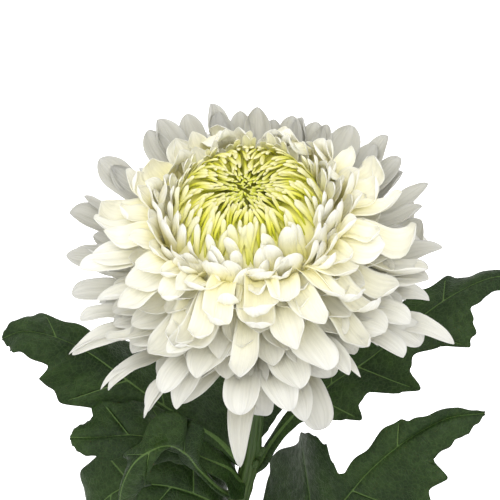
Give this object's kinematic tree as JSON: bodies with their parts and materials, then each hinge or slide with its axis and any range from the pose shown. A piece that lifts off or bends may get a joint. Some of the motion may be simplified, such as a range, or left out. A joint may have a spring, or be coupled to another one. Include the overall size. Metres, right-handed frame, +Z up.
{
  "type": "football mum in vase",
  "caption": "Large white incurved chrysanthemum bloom with a yellow-green heart, on one leafy stem that stands in a clear glass bottle vase of water",
  "frame": {"origin": "centre of the vase's flat underside, on the surface it stands on", "axes": "+Z up along the vase, -Y to the viewer of the picture, +X to their right; the bloom nods to -Y and -X"},
  "size_m": [0.1931, 0.124, 0.3428],
  "materials": {
    "petal": "satin",
    "heart": "satin",
    "stem": "satin",
    "leaf": "satin",
    "glass": "gloss",
    "water": "gloss"
  },
  "bodies": {
    "root": {"petals": "petal", "heart": "heart", "stem": "stem", "leaf_1": "leaf", "leaf_2": "leaf", "leaf_3": "leaf", "leaf_4": "leaf", "leaf_5": "leaf", "leaf_6": "leaf", "leaf_7": "leaf", "vase": "glass", "water": "water"}
  },
  "joints": []
}
